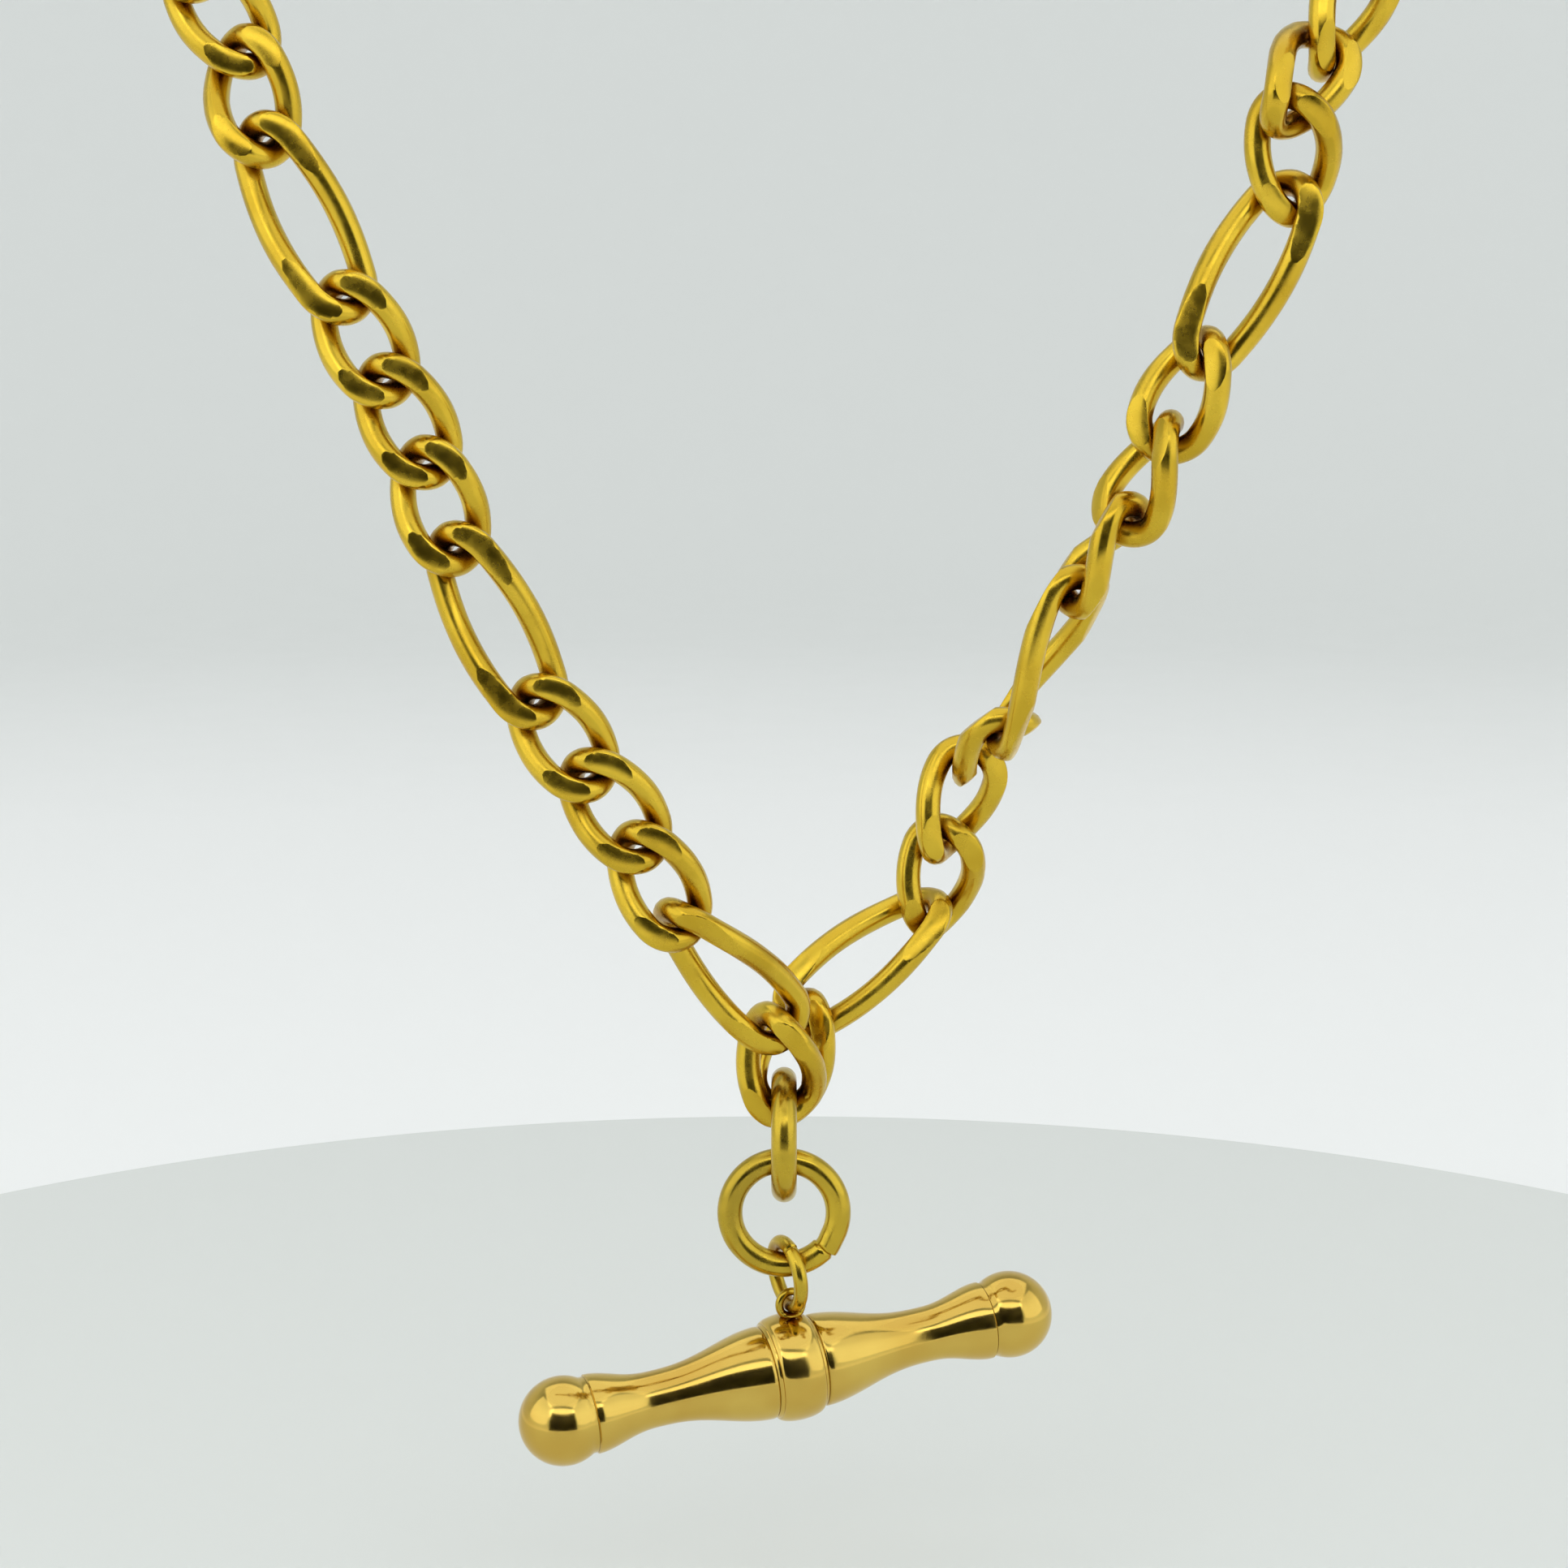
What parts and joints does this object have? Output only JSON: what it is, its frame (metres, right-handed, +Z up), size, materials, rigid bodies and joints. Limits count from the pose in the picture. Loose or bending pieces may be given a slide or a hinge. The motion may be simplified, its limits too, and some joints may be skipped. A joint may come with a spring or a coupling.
{
  "type": "pocket watch chain",
  "caption": "Gold double pocket watch chain: two figaro curb strands with swivel clips, joined at a drop of round rings that carries a T-bar with ball ends.",
  "frame": {"origin": "centre of the wire at the top of the upper drop ring, where both strands hang on", "axes": "+Z up along the drop, the strands rise to the left (-X) and right (+X), the front is -Y"},
  "size_m": [0.0951, 0.0143, 0.1263],
  "materials": {
    "gold": "polished",
    "dark_gold": "satin",
    "spring": "satin"
  },
  "bodies": {
    "upper_ring": {"upper_ring": "gold"},
    "lower_ring": {"lower_ring": "gold"},
    "t_bar_ring": {"t_bar_ring": "gold"},
    "t_bar": {"t_bar_eye": "gold", "t_bar_bead": "gold", "t_bar_left_barrel": "gold", "t_bar_right_barrel": "gold", "t_bar_left_knob": "gold", "t_bar_right_knob": "gold"},
    "left_link_01": {"left_link_01": "gold"},
    "left_link_02": {"left_link_02": "gold"},
    "left_link_03": {"left_link_03": "gold"},
    "left_link_04": {"left_link_04": "gold"},
    "left_link_05": {"left_link_05": "gold"},
    "left_link_06": {"left_link_06": "gold"},
    "left_link_07": {"left_link_07": "gold"},
    "left_link_08": {"left_link_08": "gold"},
    "left_link_09": {"left_link_09": "gold"},
    "left_link_10": {"left_link_10": "gold"},
    "left_link_11": {"left_link_11": "gold"},
    "left_link_12": {"left_link_12": "gold"},
    "left_link_13": {"left_link_13": "gold"},
    "left_link_14": {"left_link_14": "gold"},
    "left_link_15": {"left_link_15": "gold"},
    "left_link_16": {"left_link_16": "gold"},
    "left_link_17": {"left_link_17": "gold"},
    "left_end_ring": {"left_end_ring": "gold"},
    "left_swivel_bow": {"left_swivel_bow": "gold"},
    "left_swivel_hook": {"left_swivel_post": "dark_gold", "left_swivel_hook": "gold", "left_gate_pin": "dark_gold", "left_gate_spring": "spring"},
    "left_swivel_gate": {"left_swivel_gate": "gold"},
    "right_link_01": {"right_link_01": "gold"},
    "right_link_02": {"right_link_02": "gold"},
    "right_link_03": {"right_link_03": "gold"},
    "right_link_04": {"right_link_04": "gold"},
    "right_link_05": {"right_link_05": "gold"},
    "right_link_06": {"right_link_06": "gold"},
    "right_link_07": {"right_link_07": "gold"},
    "right_link_08": {"right_link_08": "gold"},
    "right_link_09": {"right_link_09": "gold"},
    "right_link_10": {"right_link_10": "gold"},
    "right_link_11": {"right_link_11": "gold"},
    "right_link_12": {"right_link_12": "gold"},
    "right_link_13": {"right_link_13": "gold"},
    "right_link_14": {"right_link_14": "gold"},
    "right_link_15": {"right_link_15": "gold"},
    "right_link_16": {"right_link_16": "gold"},
    "right_link_17": {"right_link_17": "gold"},
    "right_end_ring": {"right_end_ring": "gold"},
    "right_swivel_bow": {"right_swivel_bow": "gold"},
    "right_swivel_hook": {"right_swivel_post": "dark_gold", "right_swivel_hook": "gold", "right_gate_pin": "dark_gold", "right_gate_spring": "spring"},
    "right_swivel_gate": {"right_swivel_gate": "gold"}
  },
  "joints": [
    {"name": "t_bar", "type": "hinge", "parent": "t_bar_ring", "child": "t_bar", "pos_m": [0.00038, 0, -0.0128], "axis": [-0.4045, 0.9135, -0.0425], "range_deg": [-19, 19]},
    {"name": "t_bar_ring", "type": "hinge", "parent": "lower_ring", "child": "t_bar_ring", "pos_m": [0, 0, -0.01046], "axis": [1, 0, 0], "range_deg": [-35, 35]},
    {"name": "lower_ring", "type": "hinge", "parent": "upper_ring", "child": "lower_ring", "pos_m": [0, 0, -0.006], "axis": [0, 1, 0], "range_deg": [-35, 35]},
    {"name": "left_swivel_hook", "type": "hinge", "parent": "left_swivel_bow", "child": "left_swivel_hook", "pos_m": [-0.04152, -0.00232, 0.09093], "axis": [-0.2924, 0, 0.9563], "continuous": true},
    {"name": "left_swivel_bow", "type": "hinge", "parent": "left_end_ring", "child": "left_swivel_bow", "pos_m": [-0.04067, -0.00232, 0.08815], "axis": [-0.6399, -0.7431, -0.1956], "range_deg": [-40, 40]},
    {"name": "left_end_ring", "type": "hinge", "parent": "left_link_17", "child": "left_end_ring", "pos_m": [-0.03985, -0.00232, 0.08546], "axis": [-0.7107, 0.6691, -0.2173], "range_deg": [-40, 40]},
    {"name": "left_swivel_gate", "type": "hinge", "parent": "left_swivel_hook", "child": "left_swivel_gate", "pos_m": [-0.04821, -0.00232, 0.10049], "axis": [0, -1, 0], "range_deg": [0, 30], "stiffness_Nm_per_rad": 0.0001, "springref_deg": -20.05},
    {"name": "right_swivel_hook", "type": "hinge", "parent": "right_swivel_bow", "child": "right_swivel_hook", "pos_m": [0.03836, -0.00317, 0.08726], "axis": [0.2756, 0, 0.9613], "continuous": true},
    {"name": "right_swivel_bow", "type": "hinge", "parent": "right_end_ring", "child": "right_swivel_bow", "pos_m": [0.03756, -0.00317, 0.08446], "axis": [0.1338, 0.9903, -0.0384], "range_deg": [-40, 40]},
    {"name": "right_end_ring", "type": "hinge", "parent": "right_link_17", "child": "right_end_ring", "pos_m": [0.03679, -0.00317, 0.08176], "axis": [0.9519, -0.1392, -0.273], "range_deg": [-40, 40]},
    {"name": "right_swivel_gate", "type": "hinge", "parent": "right_swivel_hook", "child": "right_swivel_gate", "pos_m": [0.03796, -0.00317, 0.09892], "axis": [0, -1, 0], "range_deg": [0, 30], "stiffness_Nm_per_rad": 0.0001, "springref_deg": -20.05},
    {"name": "left_link_01", "type": "hinge", "parent": "upper_ring", "child": "left_link_01", "pos_m": [0, -0.00098, -0.00016], "axis": [0, 0.9451, 0.3267], "range_deg": [-29, 9]},
    {"name": "right_link_01", "type": "hinge", "parent": "upper_ring", "child": "right_link_01", "pos_m": [0, 0.00098, -0.00016], "axis": [0, 0.9451, -0.3267], "range_deg": [-9, 9]},
    {"name": "left_link_02", "type": "hinge", "parent": "left_link_01", "child": "left_link_02", "pos_m": [-0.00063, -0.00211, 0.00431], "axis": [0.5389, -0.8317, -0.1337], "range_deg": [-29, 24]},
    {"name": "right_link_02", "type": "hinge", "parent": "right_link_01", "child": "right_link_02", "pos_m": [0.00149, 0.00179, 0.00417], "axis": [0.3916, -0.9194, 0.0366], "range_deg": [-19, 29]},
    {"name": "left_link_03", "type": "hinge", "parent": "left_link_02", "child": "left_link_03", "pos_m": [-0.00589, -0.00532, 0.01081], "axis": [-0.5434, 0.8391, -0.0256], "range_deg": [-9, 29]},
    {"name": "right_link_03", "type": "hinge", "parent": "right_link_02", "child": "right_link_03", "pos_m": [0.00853, 0.00396, 0.00928], "axis": [-0.3678, 0.9228, 0.1148], "range_deg": [-29, 29]},
    {"name": "left_link_04", "type": "hinge", "parent": "left_link_03", "child": "left_link_04", "pos_m": [-0.00794, -0.0054, 0.015], "axis": [0.641, -0.707, 0.2989], "range_deg": [-19, 19]},
    {"name": "right_link_04", "type": "hinge", "parent": "right_link_03", "child": "right_link_04", "pos_m": [0.00892, 0.00275, 0.01377], "axis": [0.8133, -0.5401, -0.2164], "range_deg": [-29, 29]},
    {"name": "left_link_05", "type": "hinge", "parent": "left_link_04", "child": "left_link_05", "pos_m": [-0.01067, -0.00548, 0.01877], "axis": [-0.6081, 0.669, -0.4274], "range_deg": [-19, 14]},
    {"name": "right_link_05", "type": "hinge", "parent": "right_link_04", "child": "right_link_05", "pos_m": [0.01051, 0.00267, 0.01815], "axis": [-0.8969, 0.2923, 0.3319], "range_deg": [-29, 4]},
    {"name": "left_link_06", "type": "hinge", "parent": "left_link_05", "child": "left_link_06", "pos_m": [-0.01328, -0.00532, 0.02263], "axis": [0.6129, -0.6557, 0.441], "range_deg": [-29, 19]},
    {"name": "right_link_06", "type": "hinge", "parent": "right_link_05", "child": "right_link_06", "pos_m": [0.0122, -0.0011, 0.02031], "axis": [0.932, 0.3027, -0.1994], "range_deg": [-9, 29]},
    {"name": "left_link_07", "type": "hinge", "parent": "left_link_06", "child": "left_link_07", "pos_m": [-0.01734, -0.00501, 0.03061], "axis": [-0.6515, 0.6687, -0.3582], "range_deg": [-19, 19]},
    {"name": "right_link_07", "type": "hinge", "parent": "right_link_06", "child": "right_link_07", "pos_m": [0.01572, -0.00342, 0.02821], "axis": [-0.8724, -0.4082, 0.2687], "range_deg": [-29, 4]},
    {"name": "left_link_08", "type": "hinge", "parent": "left_link_07", "child": "left_link_08", "pos_m": [-0.0187, -0.00476, 0.03506], "axis": [0.689, -0.6811, 0.248], "range_deg": [-19, 9]},
    {"name": "right_link_08", "type": "hinge", "parent": "right_link_07", "child": "right_link_08", "pos_m": [0.01807, -0.00439, 0.03212], "axis": [0.6818, 0.6917, -0.2382], "range_deg": [-14, 24]},
    {"name": "left_link_09", "type": "hinge", "parent": "left_link_08", "child": "left_link_09", "pos_m": [-0.02082, -0.00476, 0.03921], "axis": [-0.6621, 0.6691, -0.3374], "range_deg": [-14, 14]},
    {"name": "right_link_09", "type": "hinge", "parent": "right_link_08", "child": "right_link_09", "pos_m": [0.01988, -0.00488, 0.03639], "axis": [-0.2469, -0.969, -0.0059], "range_deg": [-29, 14]},
    {"name": "left_link_10", "type": "hinge", "parent": "left_link_09", "child": "left_link_10", "pos_m": [-0.02286, -0.00476, 0.0434], "axis": [0.6679, -0.6691, 0.3258], "range_deg": [-24, 29]},
    {"name": "right_link_10", "type": "hinge", "parent": "right_link_09", "child": "right_link_10", "pos_m": [0.02177, -0.0052, 0.04063], "axis": [-0.24, 0.954, 0.1799], "range_deg": [-9, 29]},
    {"name": "left_link_11", "type": "hinge", "parent": "left_link_10", "child": "left_link_11", "pos_m": [-0.0269, -0.00367, 0.05133], "axis": [-0.647, 0.638, -0.4176], "range_deg": [-29, 9]},
    {"name": "right_link_11", "type": "hinge", "parent": "right_link_10", "child": "right_link_11", "pos_m": [0.0261, -0.00442, 0.04844], "axis": [0.6166, -0.7403, -0.2678], "range_deg": [-4, 9]},
    {"name": "left_link_12", "type": "hinge", "parent": "left_link_11", "child": "left_link_12", "pos_m": [-0.02776, -0.00254, 0.05576], "axis": [0.6741, -0.674, 0.3022], "range_deg": [-29, 9]},
    {"name": "right_link_12", "type": "hinge", "parent": "right_link_11", "child": "right_link_12", "pos_m": [0.02533, -0.00586, 0.0528], "axis": [-0.7457, 0.6607, 0.0865], "range_deg": [-29, 4]},
    {"name": "left_link_13", "type": "hinge", "parent": "left_link_12", "child": "left_link_13", "pos_m": [-0.03043, -0.00287, 0.05957], "axis": [-0.7015, 0.5578, -0.4436], "range_deg": [-14, 9]},
    {"name": "right_link_13", "type": "hinge", "parent": "right_link_12", "child": "right_link_13", "pos_m": [0.02796, -0.00325, 0.05563], "axis": [0.8248, -0.3892, -0.4102], "range_deg": [-29, 9]},
    {"name": "left_link_14", "type": "hinge", "parent": "left_link_13", "child": "left_link_14", "pos_m": [-0.03247, -0.00287, 0.06376], "axis": [0.7451, -0.5592, 0.3634], "range_deg": [-14, 14]},
    {"name": "right_link_14", "type": "hinge", "parent": "right_link_13", "child": "right_link_14", "pos_m": [0.02978, -0.00317, 0.05992], "axis": [-0.9077, 0.1736, 0.382], "range_deg": [-29, 29]},
    {"name": "left_link_15", "type": "hinge", "parent": "left_link_14", "child": "left_link_15", "pos_m": [-0.03553, -0.0024, 0.07217], "axis": [-0.7295, 0.6148, -0.2998], "range_deg": [-9, 19]},
    {"name": "right_link_15", "type": "hinge", "parent": "right_link_14", "child": "right_link_15", "pos_m": [0.0327, -0.00317, 0.06839], "axis": [0.9339, -0.1564, -0.3216], "range_deg": [-24, 24]},
    {"name": "left_link_16", "type": "hinge", "parent": "left_link_15", "child": "left_link_16", "pos_m": [-0.03705, -0.00232, 0.07657], "axis": [0.6989, -0.669, 0.253], "range_deg": [-14, 14]},
    {"name": "right_link_16", "type": "hinge", "parent": "right_link_15", "child": "right_link_16", "pos_m": [0.03414, -0.00317, 0.07282], "axis": [-0.9393, 0.1564, 0.3052], "range_deg": [-19, 14]},
    {"name": "left_link_17", "type": "hinge", "parent": "left_link_16", "child": "left_link_17", "pos_m": [-0.03849, -0.00232, 0.08101], "axis": [-0.7068, 0.6691, -0.2296], "range_deg": [-14, 14]},
    {"name": "right_link_17", "type": "hinge", "parent": "right_link_16", "child": "right_link_17", "pos_m": [0.0355, -0.00317, 0.07728], "axis": [0.947, -0.1392, -0.2895], "range_deg": [-14, 14]}
  ]
}
